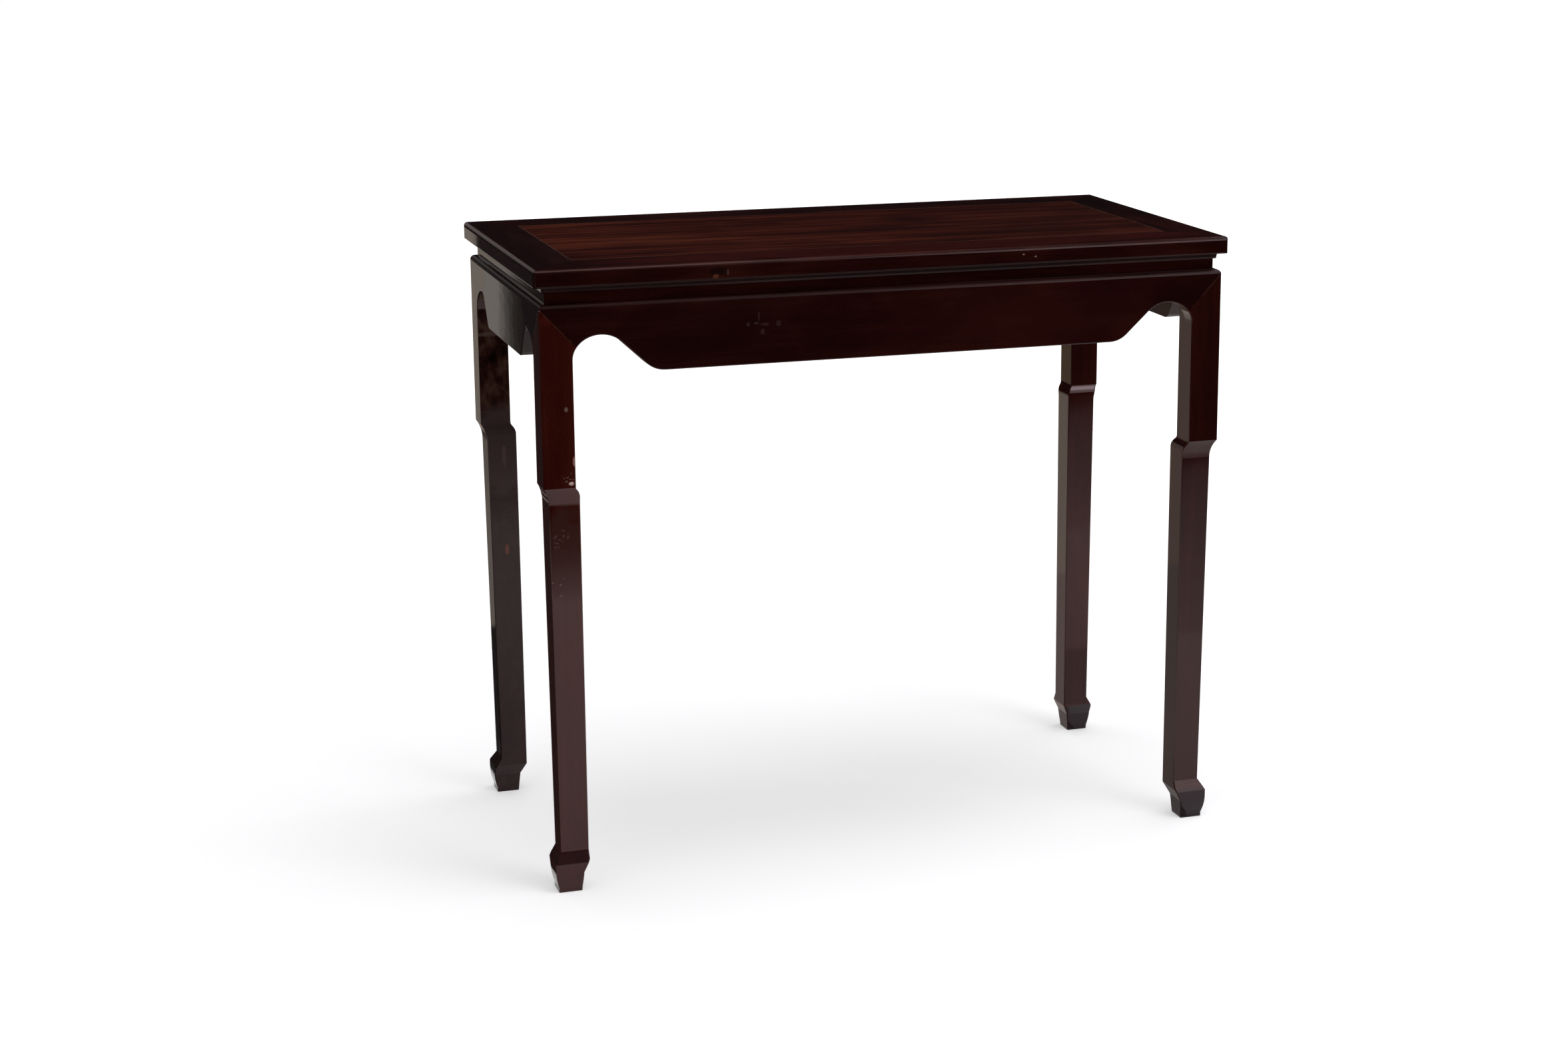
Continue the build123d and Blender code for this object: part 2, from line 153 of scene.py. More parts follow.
class Shader:
    """Builds one node tree of a material or of the world."""

    def __init__(self, tree: bpy.types.NodeTree) -> None:
        """Empty a tree to build in it.

        Args:
            tree: The node tree of a material or of the world.
        """
        self.tree = tree
        tree.nodes.clear()

    def node(self, kind: str, settings: dict[str, Any] | None = None,
             inputs: dict[Any, Any] | None = None) -> bpy.types.Node:
        """Add a node, then its settings, then the values or links of its sockets.

        Args:
            kind: The node's type name.
            settings: Its properties. "stops" is a ramp's list of places and colours.
            inputs: A value, a Value or an output socket for each input, by name or number.

        Returns:
            The new node.
        """
        node = self.tree.nodes.new(kind)
        for name, setting in (settings or {}).items():
            if name == "stops":
                self._set_stops(node.color_ramp, setting)
            else:
                setattr(node, name, setting)
        for name, given in (inputs or {}).items():
            socket = node.inputs[name]
            if isinstance(given, Value):
                self.tree.links.new(given.socket, socket)
            elif isinstance(given, bpy.types.NodeSocket):
                self.tree.links.new(given, socket)
            else:
                socket.default_value = given
        return node

    def value(self, kind: str, settings: dict[str, Any] | None = None,
              inputs: dict[Any, Any] | None = None, output: Any = 0) -> Value:
        """Add a node and return one of its number outputs."""
        return Value(self, self.node(kind, settings, inputs).outputs[output])

    @staticmethod
    def _set_stops(ramp: bpy.types.ColorRamp, stops: list[tuple[float, tuple]]) -> None:
        """Give a colour ramp its stops.

        Args:
            ramp: The ramp.
            stops: The place and the colour of each stop.
        """
        while len(ramp.elements) > 1:
            ramp.elements.remove(ramp.elements[-1])
        ramp.elements[0].position, ramp.elements[0].color = stops[0]
        for place, colour in stops[1:]:
            ramp.elements.new(place).color = colour

    def vector(self, operation: str, *vectors: Any) -> bpy.types.NodeSocket:
        """Return the vector from one Vector Math node."""
        node = self.node("ShaderNodeVectorMath", {"operation": operation},
                         dict(enumerate(vectors)))
        return node.outputs["Vector"]

    def measure(self, operation: str, *vectors: Any) -> Value:
        """Return the number from one Vector Math node, such as a dot product."""
        return self.value("ShaderNodeVectorMath", {"operation": operation},
                          dict(enumerate(vectors)), "Value")

    def parts(self, vector: bpy.types.NodeSocket) -> tuple[Value, Value, Value]:
        """Return the three numbers of a vector."""
        node = self.node("ShaderNodeSeparateXYZ", None, {0: vector})
        return tuple(Value(self, socket) for socket in node.outputs)

    def finer(self, vector: bpy.types.NodeSocket, times: float) -> bpy.types.NodeSocket:
        """Return the vector at which a pattern is so many times finer."""
        return self.vector("MULTIPLY", vector, (times,) * 3)

    def noise(self, vector: bpy.types.NodeSocket, detail: float = 2.0, roughness: float = 0.5,
              distortion: float = 0.0) -> Value:
        """Return smooth noise of about unit size at a vector."""
        return self.value("ShaderNodeTexNoise", {"noise_dimensions": "3D"},
                          {"Vector": vector, "Scale": 1.0, "Detail": detail,
                           "Roughness": roughness, "Distortion": distortion}, "Fac")

    def mix(self, mask: Any, first: Any, second: Any) -> bpy.types.NodeSocket:
        """Return the mix of two colours, where a mask of 1 gives the second."""
        node = self.node("ShaderNodeMix", {"data_type": "RGBA"}, {0: mask, 6: first, 7: second})
        return node.outputs[2]


def opaque(colour: Triple) -> tuple[float, float, float, float]:
    """Return a colour with full alpha."""
    return (*colour, 1.0)


def shaded(name: str) -> tuple[bpy.types.Material, Shader]:
    """Start a material with an empty node tree.

    Args:
        name: What the material is called.

    Returns:
        The material, and the shader that builds its nodes.
    """
    material = bpy.data.materials.new(name)
    material.use_nodes = True
    return material, Shader(material.node_tree)


# ---- Finishes ----


@dataclass(frozen=True)
class Mark:
    """A chip, a scuff, a speck, a tone of the wood, or a painted shade, highlight or reflection, in
    metres.

    Attributes:
        place: Its middle.
        reach: How far it reaches along each axis.
        colour: Its colour.
        strength: How much of its colour shows.
        ragged: How uneven its edge is.
        roughness: How rough the polish is on it.
        speckle: The size of the specks that it is made of, or 0 where it is whole.
        core: The share of its reach that has its full strength.
        lumps: How many lumps its edge has for each reach.
    """

    place: Triple
    reach: Triple
    colour: Triple
    strength: float = 0.8
    ragged: float = 0.45
    roughness: float = 0.5
    speckle: float = 0.0
    core: float = 0.55
    lumps: float = 2.3

    def mask(self, shader: Shader, point: bpy.types.NodeSocket) -> Value:
        """Return where the mark shows.

        Args:
            shader: The material's shader.
            point: The place on the piece.

        Returns:
            1 in the mark's core and 0 outside it.
        """
        scaled = shader.vector("DIVIDE", shader.vector("SUBTRACT", point, self.place), self.reach)
        wobble = shader.noise(shader.finer(scaled, self.lumps), detail=3.0, roughness=0.7)
        distance = shader.measure("LENGTH", scaled) + (wobble - 0.5) * (2 * self.ragged)
        mask = distance.step(1.0, self.core)
        if self.speckle:
            specks = shader.noise(shader.finer(point, 1 / self.speckle), detail=1.0)
            mask = mask * specks.step(0.60, 0.68)
        return mask


@dataclass(frozen=True)
class Joint:
    """A painted highlight: the light, broken glint along the seam where two boards meet round a
    rectangle on the top, in metres.

    Attributes:
        half_length: Half of the rectangle's length.
        half_depth: Half of its depth.
        width: How far the line reaches to each side.
        core: The share of the width that has its full strength.
        colour: The colour of the painted highlight.
        strength: How much of its colour shows.
        breaks: How fine the noise is that breaks the line.
    """

    half_length: float
    half_depth: float
    width: float = 0.0017
    core: float = 0.3
    colour: Triple = (0.100, 0.052, 0.038)
    strength: float = 0.75
    breaks: float = 38.0

    def mask(self, shader: Shader, point: bpy.types.NodeSocket,
             normal: bpy.types.NodeSocket) -> Value:
        """Return the broken line along the rectangle on faces that look up.

        Args:
            shader: The material's shader.
            point: The place on the piece.
            normal: The way the face looks.

        Returns:
            1 on the line and 0 off it.
        """
        x, y, _ = shader.parts(point)
        _, _, up = shader.parts(normal)
        from_side = abs(x) - self.half_length
        from_front = abs(y) - self.half_depth
        full = self.width * self.core
        sides = abs(from_side).step(self.width, full) * from_front.step(self.width, 0.0)
        fronts = abs(from_front).step(self.width, full) * from_side.step(self.width, 0.0)
        broken = shader.noise(shader.finer(point, self.breaks), roughness=0.6)
        return sides.maximum(fronts) * broken.step(0.16, 0.56) * up.step(0.5, 0.9)


@dataclass(frozen=True)
class Mitre:
    """The thin line where each apron meets a leg, on the outer faces, in metres.

    Attributes:
        half_length: Half of the table's length.
        half_depth: Half of its depth.
        inset: How far the apron's face stands back from the frame's.
        head: The height at which the line starts.
        rise: How far it comes down.
        run: How far it goes in from the leg's corner.
        width: The line's width.
        edge: Where the line ends, in widths from its middle.
        core: Where its full strength ends, in widths from its middle.
        fade: The height over which its foot fades.
        colour: The line's colour.
        strength: How much of its colour shows.
        breaks: How fine the noise is that breaks the line.
    """

    half_length: float = 0.490
    half_depth: float = 0.2475
    inset: float = 0.007
    head: float = 0.8005
    rise: float = 0.0465
    run: float = 0.0435
    width: float = 0.0006
    edge: float = 1.4
    core: float = 0.5
    fade: float = 0.002
    colour: Triple = (0.110, 0.050, 0.038)
    strength: float = 0.45
    breaks: float = 90.0

    def mask(self, shader: Shader, point: bpy.types.NodeSocket,
             normal: bpy.types.NodeSocket) -> Value:
        """Return the broken line on the faces that look outwards.

        Args:
            shader: The material's shader.
            point: The place on the piece.
            normal: The way the face looks.

        Returns:
            1 on the line and 0 off it.
        """
        x, y, z = shader.parts(point)
        _, facing, _ = shader.parts(normal)
        frontal = abs(facing).step(0.6, 0.8)
        along = (self.half_length - abs(x)) * frontal
        across = (self.half_depth - abs(y)) * (1.0 - frontal)
        slope = self.rise / self.run
        away = abs(z - self.head + (along + across - self.inset) * slope)
        line = away.step(self.width * self.edge, self.width * self.core)
        broken = shader.noise(shader.finer(point, self.breaks), roughness=0.6)
        foot = self.head - self.rise
        return line * broken.step(0.34, 0.60) * z.step(foot, foot + self.fade)


@dataclass(frozen=True)
class Polish:
    """Old wax polish on dark red hardwood, in metres.

    Attributes:
        dark: The darkest wood.
        middle: The wood's middle tone.
        light: The palest wood.
        stops: Where the tone reaches dark, middle and light.
        pore: The open pores.
        worn: The wood where an arris has rubbed pale.
        raw: Wood that never had polish.
        raw_range: How dark and how pale the raw wood gets.
        figure: The broad figure's length, width and weight.
        streak: The streaks' length, width and weight.
        patch: The soft patches' width and weight.
        patch_stretch: How many times longer than wide a patch is.
        fibre: The single fibres' length and width.
        grit: The fibres' weight, and how much of the pores' colour shows.
        vessel: The pores' length and width.
        clouds: How fine the clouds in the polish are.
        roughness: The polish on a flat face.
        cloud_roughness: What the clouds add to it.
        streak_gloss: What the streaks take from it.
        edge_roughness: What a rounded edge adds to it.
        seam_roughness: What a line where pieces meet adds to it.
        bare_roughness: What bare wood adds to it.
        level: How strongly the polish mirrors.
        tint: The tint of what it mirrors.
        wear: How much of the worn colour shows on the arrises.
        bump: How much of the relief shows.
        relief: How deep the relief is.
        streak_height: The streaks' share of the relief.
        ripple: The planed ripple's length, width and share of the relief.
    """

    dark: Triple = (0.0080, 0.0015, 0.0011)
    middle: Triple = (0.0180, 0.0027, 0.0018)
    light: Triple = (0.0360, 0.0070, 0.0040)
    stops: Triple = (0.32, 0.50, 0.72)
    pore: Triple = (0.0050, 0.0014, 0.0010)
    worn: Triple = (0.0700, 0.0260, 0.0190)
    raw: Triple = (0.0620, 0.0300, 0.0175)
    raw_range: Pair = (0.62, 1.3)
    figure: Triple = (0.34, 0.045, 0.55)
    streak: Triple = (0.11, 0.0042, 0.30)
    patch: Pair = (0.10, 0.35)
    patch_stretch: float = 1.6
    fibre: Pair = (0.03, 0.0011)
    grit: Pair = (0.12, 0.60)
    vessel: Pair = (0.011, 0.0006)
    clouds: float = 7.0
    roughness: float = 0.055
    cloud_roughness: float = 0.04
    streak_gloss: float = 0.02
    edge_roughness: float = 0.16
    seam_roughness: float = 0.2
    bare_roughness: float = 0.42
    level: float = 0.36
    tint: Triple = (1.0, 0.78, 0.76)
    wear: float = 0.22
    bump: float = 0.08
    relief: float = 0.0004
    streak_height: float = 0.25
    ripple: Triple = (0.09, 0.024, 3.0)

    def material(self, name: str, grain: Grain, inside: Inside = Inside.NONE,
                 marks: Iterable[Mark] = (), seams: Iterable[Joint | Mitre] = ()
                 ) -> bpy.types.Material:
        """Return the finished wood of one kind of piece.

        Args:
            name: The material's name.
            grain: The way the fibres run.
            inside: Which faces are bare wood.
            marks: The marks on these pieces.
            seams: The lines where these pieces meet others, such as the painted highlight round the
                panel.

        Returns:
            The material.
        """
        material, shader = shaded(name)
        point = shader.node("ShaderNodeTexCoord").outputs["Object"]
        normal = shader.node("ShaderNodeNewGeometry").outputs["Normal"]
        parts = shader.parts(point)
        along, across, through = (parts[axis] for axis in grain.value)

        def grained(length: float, width: float, **settings: float) -> Value:
            """Return noise that is stretched along the grain.

            Args:
                length: How long its lumps are along the grain.
                width: How wide they are across it.
                settings: The noise's detail, roughness and distortion.

            Returns:
                The noise.
            """
            stretched = shader.node("ShaderNodeCombineXYZ", None,
                                    {0: along * (1 / length), 1: across * (1 / width),
                                     2: through * (1 / width)})
            return shader.noise(stretched.outputs[0], **settings)

        figure = grained(*self.figure[:2], detail=3.0, roughness=0.55, distortion=0.8)
        streaks = grained(*self.streak[:2], detail=3.0, roughness=0.6, distortion=0.5)
        patches = grained(self.patch[0] * self.patch_stretch, self.patch[0], distortion=0.4)
        fibres = grained(*self.fibre, roughness=0.6)
        pores = grained(*self.vessel, detail=1.0).step(0.64, 0.74)
        clouds = shader.noise(shader.finer(point, self.clouds), detail=3.0, roughness=0.6)

        weights = (self.figure[2], self.streak[2], self.patch[1], self.grit[0])
        tone = (figure * weights[0] + streaks * weights[1] + patches * weights[2]
                + fibres * weights[3] + (0.5 - sum(weights) / 2))
        woods = (opaque(wood) for wood in (self.dark, self.middle, self.light))
        ramp = shader.node("ShaderNodeValToRGB", {"stops": list(zip(self.stops, woods))},
                           {0: tone})
        colour = shader.mix(pores * self.grit[1], ramp.outputs["Color"], opaque(self.pore))

        turned = self._turned(shader, normal)
        worn = turned.step(0.03, 0.24) * clouds.step(0.30, 0.62) * self.wear
        colour = shader.mix(worn, colour, opaque(self.worn))
        rough = (self.roughness + clouds * self.cloud_roughness - streaks * self.streak_gloss
                 + turned.step(0.01, 0.06) * self.edge_roughness)

        for mark in marks:
            mask = mark.mask(shader, point)
            colour = shader.mix(mask * mark.strength, colour, opaque(mark.colour))
            rough = rough + mask * (mark.roughness - self.roughness)
        for seam in seams:
            mask = seam.mask(shader, point, normal)
            colour = shader.mix(mask * seam.strength, colour, opaque(seam.colour))
            rough = rough + mask * self.seam_roughness
        if inside is not Inside.NONE:
            bare = self._bare(shader, point, normal, inside)
            shades = (opaque(tuple(part * share for part in self.raw)) for share in self.raw_range)
            colour = shader.mix(bare, colour, shader.mix(streaks, *shades))
            rough = rough + bare * self.bare_roughness

        ripple = grained(*self.ripple[:2], detail=1.0)
        height = streaks * self.streak_height + ripple * self.ripple[2]
        bump = shader.node("ShaderNodeBump", None,
                           {"Strength": self.bump, "Distance": self.relief, "Height": height})
        surface = shader.node("ShaderNodeBsdfPrincipled", None, {
            "Base Color": colour, "Roughness": rough, "Specular IOR Level": self.level,
            "Specular Tint": opaque(self.tint), "Normal": bump.outputs["Normal"],
        })
        shader.node("ShaderNodeOutputMaterial", None, {"Surface": surface.outputs[0]})
        return material

    @staticmethod
    def _turned(shader: Shader, normal: bpy.types.NodeSocket) -> Value:
        """Return how far a face is turned from the nearest main direction, 0 to 0.42."""
        x, y, z = shader.parts(normal)
        return 1.0 - abs(x).maximum(abs(y)).maximum(abs(z))

    @staticmethod
    def _bare(shader: Shader, point: bpy.types.NodeSocket, normal: bpy.types.NodeSocket,
              inside: Inside) -> Value | float:
        """Return the mask of the faces without polish.

        Args:
            shader: The material's shader.
            point: The place on the piece.
            normal: The way the face looks.
            inside: Which faces have no polish.

        Returns:
            1 on those faces and 0 on the others.
        """
        if inside is Inside.UNDERSIDE:
            return shader.parts(normal)[2].step(-0.6, -0.9)
        if inside is Inside.FACING_IN:
            flat = shader.vector("MULTIPLY", point, (1.0, 1.0, 0.0))
            return shader.measure("DOT_PRODUCT", flat, normal).step(-0.05, -0.15)
        return 1.0


# ---- The table ----


@dataclass
class Piecework:
    """A sub-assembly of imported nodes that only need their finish."""

    finish: Polish = Polish()

    def dress(self, nodes: Iterable[str], material: bpy.types.Material) -> None:
        """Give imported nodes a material.

        Args:
            nodes: The names of the nodes.
            material: What they are finished in.
        """
        for name in nodes:
            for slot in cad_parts[name].material_slots:
                slot.material = material
            log.info("%s: %s", name, material.name)


@dataclass
class TopFrame(Piecework):
    """The mitred frame of the top."""

    long_rail_width: float = 0.074
    short_rail_width: float = 0.066
    finish: Polish = Polish(dark=(0.0055, 0.0012, 0.0010), middle=(0.0140, 0.0023, 0.0016),
                            light=(0.0300, 0.0062, 0.0038), patch=(0.10, 0.55))
    # Painted shade: the left rail's finish is darker and greyer, as on the side away from the lamps.
    left_painted_shade_finish: Polish = Polish(dark=(0.0060, 0.0016, 0.0014), middle=(0.0120, 0.0030, 0.0026),
                                 light=(0.0240, 0.0070, 0.0055), roughness=0.03)

    def joint(self) -> Joint:
        """Return the seam between the frame and its panel, with its painted highlight."""
        left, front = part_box("frame_rail_left")[0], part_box("frame_rail_front")[0]
        return Joint(abs(left[0]) - self.short_rail_width, abs(front[1]) - self.long_rail_width)

    def marks(self) -> list[Mark]:
        """Return the marks on the long rails.

        Returns:
            A dark knot with its red spot and pale edge, two specks, the painted light on the front
            rail's top and the painted shade, dulled, in the hollow under its upright face.
        """
        speck: Triple = (0.22, 0.17, 0.14)
        return [
            Mark((-0.2440, FRAME_FRONT, 0.8400), (0.0160, 0.006, 0.0065),
                 (0.004, 0.0015, 0.0012), strength=0.7, ragged=0.7, roughness=0.2),
            Mark((-0.2480, FRAME_FRONT, 0.8335), (0.0052, 0.006, 0.0038), (0.095, 0.026, 0.008),
                 ragged=0.5, roughness=0.3),
            Mark((-0.2317, FRAME_FRONT, 0.8385), (0.0020, 0.006, 0.0050), (0.060, 0.028, 0.024),
                 strength=0.5),
            Mark((0.1837, FRAME_FRONT, 0.8419), (0.0020, 0.003, 0.0016), speck, strength=0.6),
            Mark((0.2012, FRAME_FRONT, 0.8383), (0.0020, 0.003, 0.0016), speck, strength=0.6),
            # Painted light: the front rail's top is warmer and paler, as it is lit more than its
            # face.
            Mark((0.0600, -0.2070, TOP_FACE), (0.5200, 0.040, 0.0050), (0.051, 0.0066, 0.0042),
                 strength=0.45, ragged=0.3, roughness=0.07, core=0.75),
            # Painted shade: the hollow under the front face is darker, and dull.
            Mark((0.0000, -0.2340, 0.8287), (3.0000, 0.0155, 0.0065), (0.006, 0.0012, 0.0010),
                 strength=0.7, ragged=0.15, roughness=0.9, core=0.85),
        ]

    def build(self) -> None:
        """Finish the four rails."""
        seams = [self.joint()]
        long_wood = self.finish.material("frame_long_rails", Grain.ALONG_TABLE,
                                         Inside.UNDERSIDE, self.marks(), seams)
        left_painted_shade_wood = self.left_painted_shade_finish.material("frame_left_rail_painted_shade", Grain.ACROSS_TABLE,
                                              Inside.UNDERSIDE, seams=seams)
        right_wood = self.finish.material("frame_right_rail", Grain.ACROSS_TABLE,
                                          Inside.UNDERSIDE, seams=seams)
        self.dress(("frame_rail_front", "frame_rail_back"), long_wood)
        self.dress(("frame_rail_left",), left_painted_shade_wood)
        self.dress(("frame_rail_right",), right_wood)


@dataclass
class Panel(Piecework):
    """The floating panel and the battens under it."""

    finish: Polish = Polish(dark=(0.0150, 0.0027, 0.0016), middle=(0.0370, 0.0060, 0.0028),
                            light=(0.0850, 0.0190, 0.0090), figure=(0.50, 0.022, 1.05),
                            streak=(0.40, 0.0080, 0.38), patch=(0.13, 0.65),
                            grit=(0.03, 0.10), bump=0.03)
    batten_finish: Polish = Polish(wear=0.1)
    # Painted shade: the panel is darker and evener towards its right end.
    right_end_painted_shade: Mark = Mark((0.3500, 0.0, TOP_FACE), (0.3000, 0.300, 0.0200), (0.020, 0.0042, 0.0026),
                      strength=0.45, ragged=0.5, roughness=0.055, core=0.2)

    def build(self, joint: Joint) -> None:
        """Finish the panel, with painted shade that darkens and evens it towards its right end, and
        its battens.

        Args:
            joint: The seam round the panel, with its painted highlight.
        """
        board = self.finish.material("top_board", Grain.ALONG_TABLE, Inside.UNDERSIDE,
                                     [self.right_end_painted_shade], [joint])
        self.dress(("top_panel",), board)
        bare = self.batten_finish.material("batten_wood", Grain.ACROSS_TABLE, Inside.ALL)
        self.dress([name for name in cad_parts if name.startswith("panel_batten")], bare)


@dataclass
class Waist(Piecework):
    """The recessed waist boards."""

    finish: Polish = Polish(wear=0.15)

    def build(self) -> None:
        """Finish the four boards."""
        long_wood = self.finish.material("waist_long", Grain.ALONG_TABLE, Inside.FACING_IN)
        short_wood = self.finish.material("waist_short", Grain.ACROSS_TABLE, Inside.FACING_IN)
        self.dress(("waist_front", "waist_back"), long_wood)
        self.dress(("waist_left", "waist_right"), short_wood)


@dataclass
class Aprons(Piecework):
    """The aprons with their scrolled lower edges, and the keys behind them."""

    finish: Polish = Polish(dark=(0.0085, 0.0016, 0.0014), middle=(0.0150, 0.0026, 0.0021),
                            light=(0.0300, 0.0068, 0.0046), figure=(0.34, 0.045, 0.50),
                            streak=(0.11, 0.0042, 0.18), patch=(0.085, 0.70),
                            edge_roughness=0.30, level=0.30)
    # Painted shade: the left apron's finish is darker and greyer, as on the side away from the
    # lamps.
    left_painted_shade_finish: Polish = Polish(dark=(0.0040, 0.0014, 0.0014), middle=(0.0078, 0.0024, 0.0022),
                                 light=(0.0150, 0.0052, 0.0044), roughness=0.018,
                                 edge_roughness=0.30, level=0.34)
    # Painted highlight: a pale grey spot at the crown of the left apron's front arch, where the
    # polish glints.
    arch_painted_highlight: Mark = Mark((APRON_LEFT, -0.1567, 0.7600), (0.004, 0.004, 0.0065), (0.40, 0.42, 0.48),
                      strength=0.6)
    scuff: Pair = (-0.1842, 0.7633)
    scuff_strokes: tuple[tuple[float, float, float, float], ...] = (
        (-0.0040, 0.0130, 0.0014, 0.0080), (-0.0190, 0.0030, 0.0030, 0.0038),
        (-0.0075, 0.0040, 0.0044, 0.0024), (0.0040, 0.0020, 0.0070, 0.0022),
        (0.0010, -0.0080, 0.0036, 0.0050), (0.0230, 0.0020, 0.0040, 0.0050),
    )

    def marks(self) -> list[Mark]:
        """Return the marks on the long aprons.

        Returns:
            The paler right part, the darker left part and the grey strokes of the scuff.
        """
        middle, height = self.scuff
        return [
            Mark((0.2000, APRON_FRONT, 0.7500), (0.2600, 0.050, 0.0900), (0.030, 0.0052, 0.0042),
                 strength=0.55, ragged=0.5, roughness=0.055, core=0.1),
            Mark((-0.2300, APRON_FRONT, 0.7700), (0.2000, 0.050, 0.0900),
                 (0.009, 0.0019, 0.0016), strength=0.5, ragged=0.5, roughness=0.055, core=0.1),
            *(Mark((middle + right, APRON_FRONT, height + up), (across, 0.006, tall),
                   (0.050, 0.026, 0.024), strength=0.45, ragged=0.7, roughness=0.25)
              for right, up, across, tall in self.scuff_strokes),
        ]

    def build(self) -> None:
        """Finish the four aprons and their keys."""
        seams = [Mitre()]
        long_wood = self.finish.material("apron_long", Grain.ALONG_TABLE, Inside.FACING_IN,
                                         self.marks(), seams)
        left_painted_shade_wood = self.left_painted_shade_finish.material("apron_left_painted_shade", Grain.ACROSS_TABLE,
                                              Inside.FACING_IN, [self.arch_painted_highlight], seams)
        right_wood = self.finish.material("apron_right_wood", Grain.ACROSS_TABLE,
                                          Inside.FACING_IN, seams=seams)
        self.dress(("apron_front", "apron_back"), long_wood)
        self.dress(("apron_left",), left_painted_shade_wood)
        self.dress(("apron_right",), right_wood)
        keys = self.finish.material("key_wood", Grain.UPRIGHT, Inside.ALL)
        self.dress(("apron_keys",), keys)


